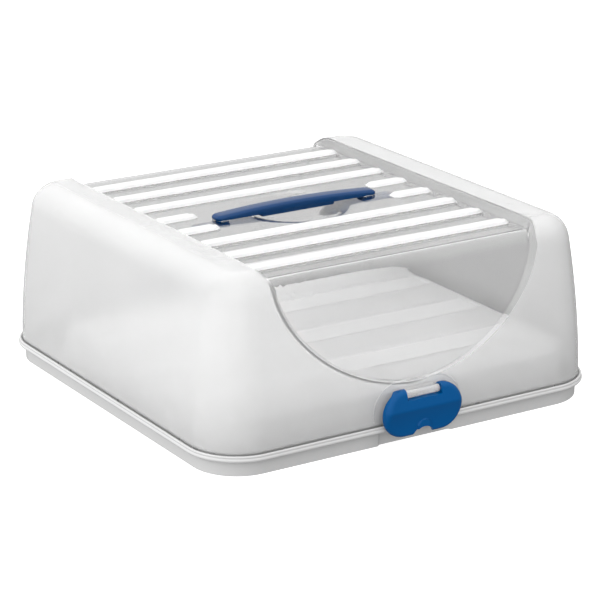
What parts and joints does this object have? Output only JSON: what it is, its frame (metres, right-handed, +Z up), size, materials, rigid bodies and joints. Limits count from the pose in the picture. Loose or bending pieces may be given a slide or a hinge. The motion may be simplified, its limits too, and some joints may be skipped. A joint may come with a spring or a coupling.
{
  "type": "cake carrier with hinged lid",
  "caption": "Square cake carrier: shallow tray, lift-out serving plate, see-through domed lid that hinges at the back, snap clips and a bow handle on top.",
  "frame": {"origin": "centre of the tray's footprint on the table", "axes": "+X to the right along the front edge, +Y to the back where the lid hinges, +Z up"},
  "size_m": [0.365, 0.383, 0.152],
  "materials": {
    "tray_white": "satin polypropylene",
    "plate_white": "satin polypropylene",
    "lid_clear": "clear with fine frosted sides",
    "clip_blue": "polished",
    "handle_blue": "polished"
  },
  "bodies": {
    "tray": {"base_tray": "tray_white"},
    "plate": {"serving_plate": "plate_white"},
    "lid": {"lid": "lid_clear"},
    "front_clip": {"front_clip": "clip_blue"},
    "rear_clip": {"rear_clip": "clip_blue"},
    "handle": {"handle": "handle_blue"}
  },
  "joints": [
    {"name": "lid_hinge", "type": "hinge", "parent": "tray", "child": "lid", "pos_m": [0, 0.1825, 0.0133], "axis": [-1, 0, 0], "range_deg": [0, 90]},
    {"name": "front_clip_pivot", "type": "hinge", "parent": "lid", "child": "front_clip", "pos_m": [0, -0.1845, 0.0414], "axis": [-1, 0, 0], "range_deg": [0, 100]},
    {"name": "rear_clip_pivot", "type": "hinge", "parent": "lid", "child": "rear_clip", "pos_m": [0, 0.1845, 0.0414], "axis": [1, 0, 0], "range_deg": [0, 100]},
    {"name": "handle_lift", "type": "slide", "parent": "lid", "child": "handle", "axis": [0, 0, 1], "range_m": [0, 0.002]},
    {"name": "plate_lift", "type": "slide", "parent": "tray", "child": "plate", "axis": [0, 0, 1], "range_m": [0, 0.06]}
  ]
}
